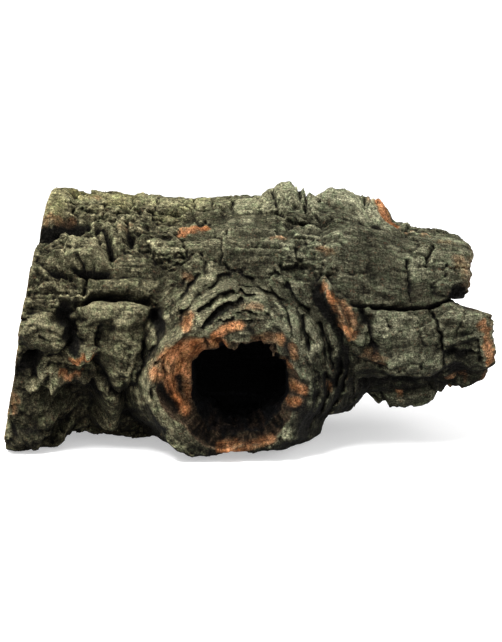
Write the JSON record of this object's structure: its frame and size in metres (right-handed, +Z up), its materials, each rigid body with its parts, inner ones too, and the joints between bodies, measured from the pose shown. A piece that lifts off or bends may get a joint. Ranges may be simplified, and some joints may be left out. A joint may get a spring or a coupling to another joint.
{
  "type": "cork bark tube",
  "caption": "Hollow length of cork oak bark, sawn at one end and broken off at the other, with a branch hole in its side, for shelter or decoration.",
  "frame": {"origin": "centre of the bounding box at its base, on the plane that the tube rests on", "axes": "+Z up, +X along the tube from the sawn end to the broken end, -Y to the front, where the branch hole is"},
  "size_m": [0.3958, 0.2324, 0.2087],
  "materials": {
    "cork_bark": "rough, cracked grey-green bark with pale lichen, and orange-brown cork where it is broken"
  },
  "bodies": {
    "root": {"cork_bark": "cork_bark"}
  },
  "joints": []
}
